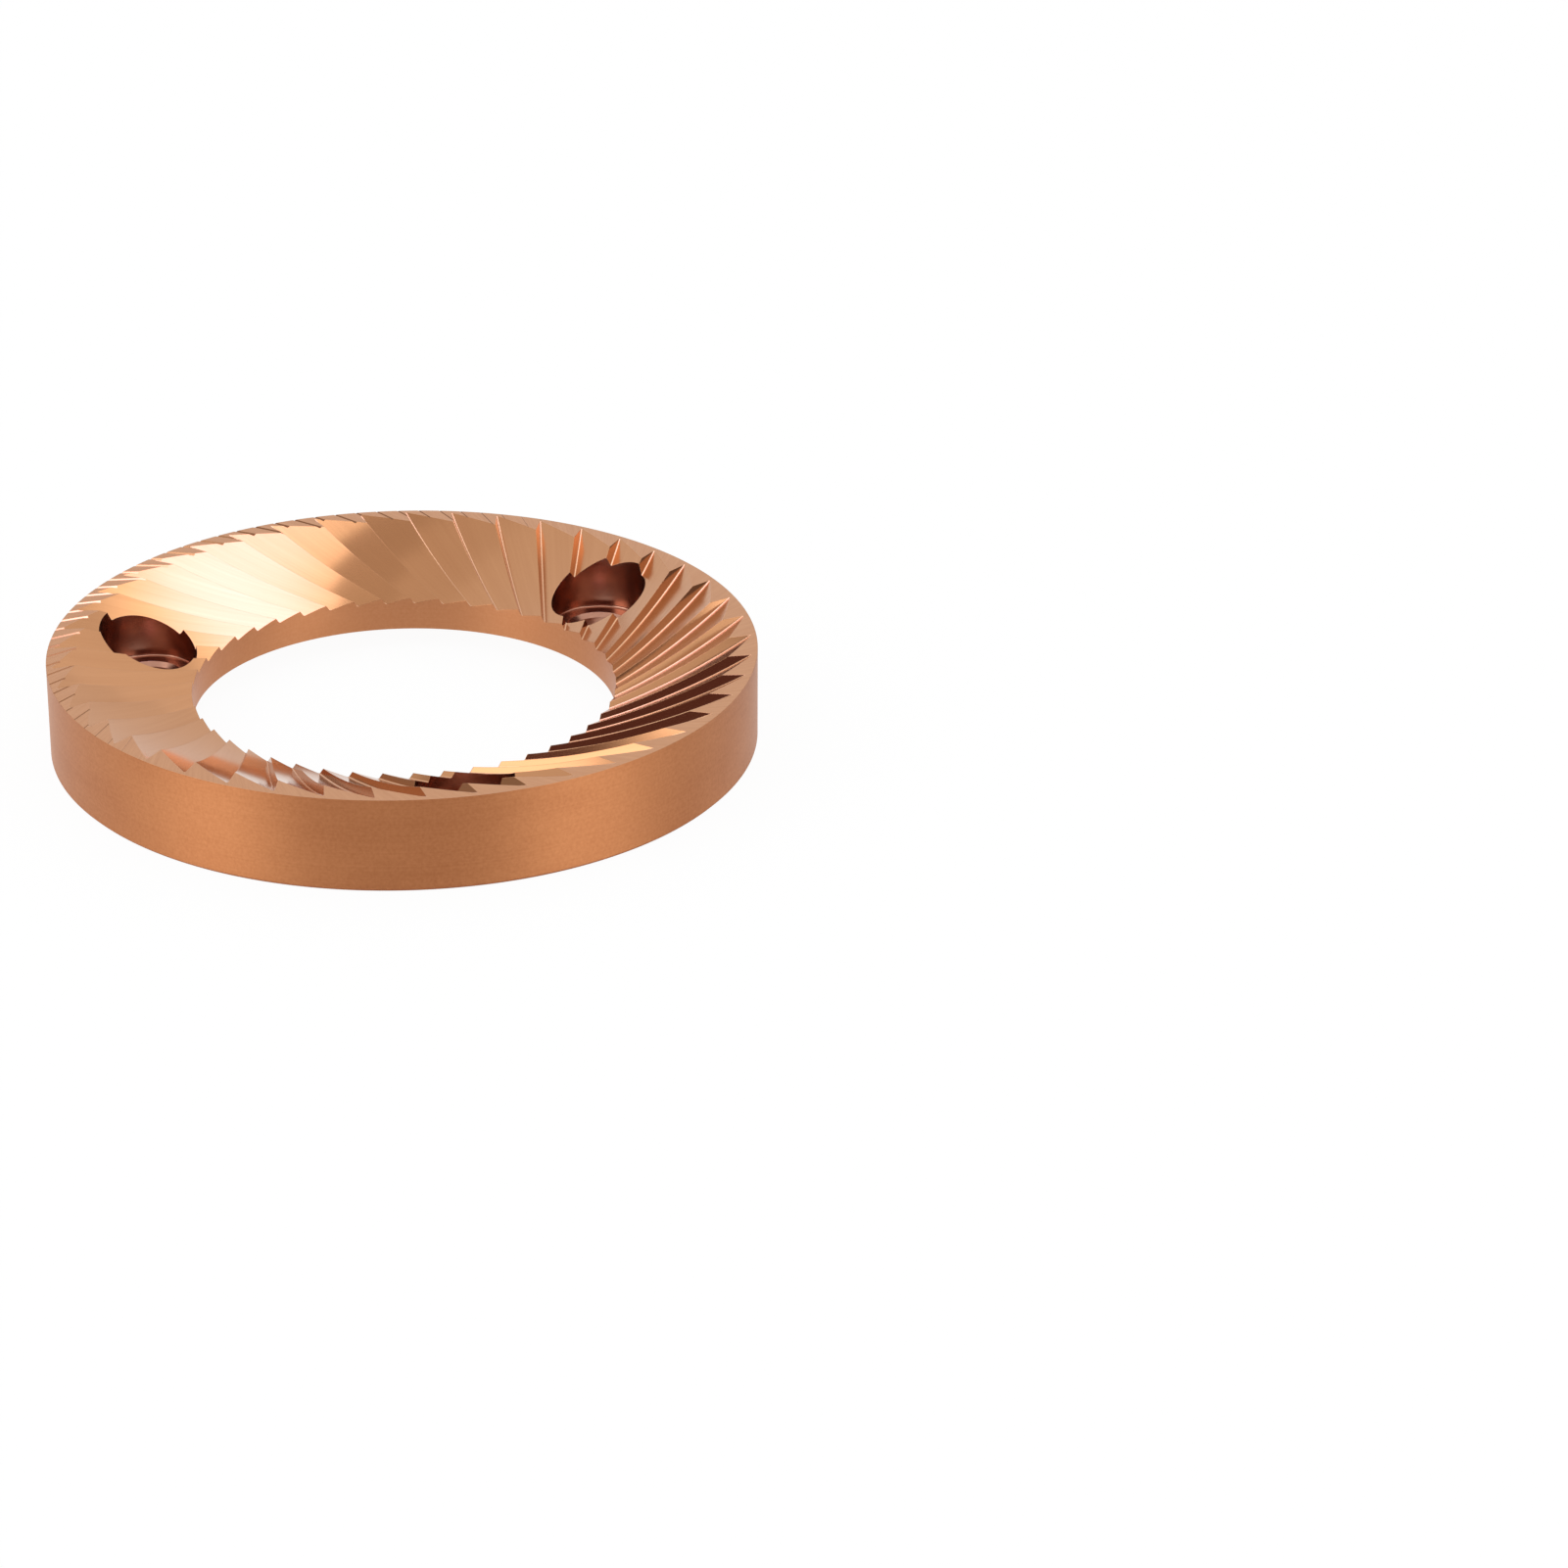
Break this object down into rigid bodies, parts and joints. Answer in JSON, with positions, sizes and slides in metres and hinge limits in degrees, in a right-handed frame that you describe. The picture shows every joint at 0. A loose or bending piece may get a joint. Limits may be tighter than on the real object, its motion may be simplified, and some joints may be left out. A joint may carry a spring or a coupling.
{
  "type": "coffee grinder burr",
  "caption": "Flat ring burr for a coffee grinder, with ground cutting teeth on a dished face, a finely grooved rim land, a wide bore and counterbored screw holes",
  "frame": {"origin": "centre of the bore, on the level of the flat back face", "axes": "+Z runs along the bore, out of the toothed face; +X passes through the middle of one screw hole"},
  "size_m": [0.064, 0.064, 0.0087],
  "materials": {
    "coated_steel": "turned and ground steel under a thin copper-coloured hard coating"
  },
  "bodies": {
    "root": {"burr": "coated_steel"}
  },
  "joints": []
}
